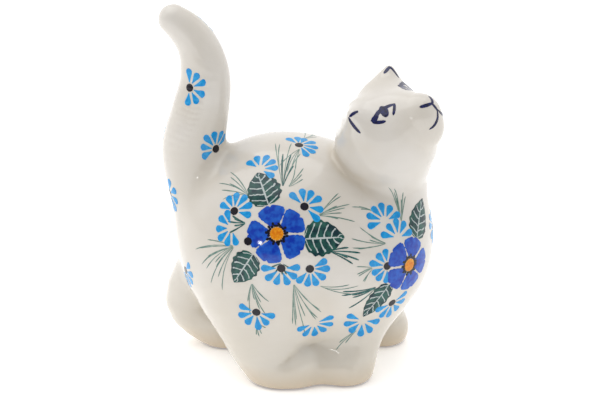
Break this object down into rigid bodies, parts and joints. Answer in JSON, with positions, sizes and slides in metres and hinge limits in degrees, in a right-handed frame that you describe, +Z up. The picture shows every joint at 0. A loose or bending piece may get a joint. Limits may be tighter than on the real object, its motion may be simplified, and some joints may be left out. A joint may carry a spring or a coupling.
{
  "type": "cat figurine",
  "caption": "Glazed stoneware cat on four short feet, with a hollow round body, a head lifted and turned to one side, and a tail held up, luted from separate clay parts",
  "frame": {"origin": "the middle of the footprint's bounding box, on the plane the four feet stand on", "axes": "+X the way the body faces, +Y the cat's left side, +Z up"},
  "size_m": [0.1226, 0.092, 0.1621],
  "materials": {
    "body_shell": "clear gloss glaze",
    "head_shell": "clear gloss glaze",
    "left_ear": "clear gloss glaze",
    "right_ear": "clear gloss glaze",
    "tail": "clear gloss glaze",
    "front_left_leg": "clear gloss glaze",
    "front_right_leg": "clear gloss glaze",
    "hind_left_leg": "clear gloss glaze",
    "hind_right_leg": "clear gloss glaze",
    "cobalt_paint": "underglaze paint",
    "sky_paint": "underglaze paint",
    "leaf_paint": "underglaze paint",
    "grass_paint": "underglaze paint",
    "dark_paint": "underglaze paint",
    "orange_paint": "underglaze paint"
  },
  "bodies": {
    "root": {"body_shell": "body_shell", "head_shell": "head_shell", "left_ear": "left_ear", "right_ear": "right_ear", "tail": "tail", "front_left_leg": "front_left_leg", "front_right_leg": "front_right_leg", "hind_left_leg": "hind_left_leg", "hind_right_leg": "hind_right_leg"}
  },
  "joints": []
}
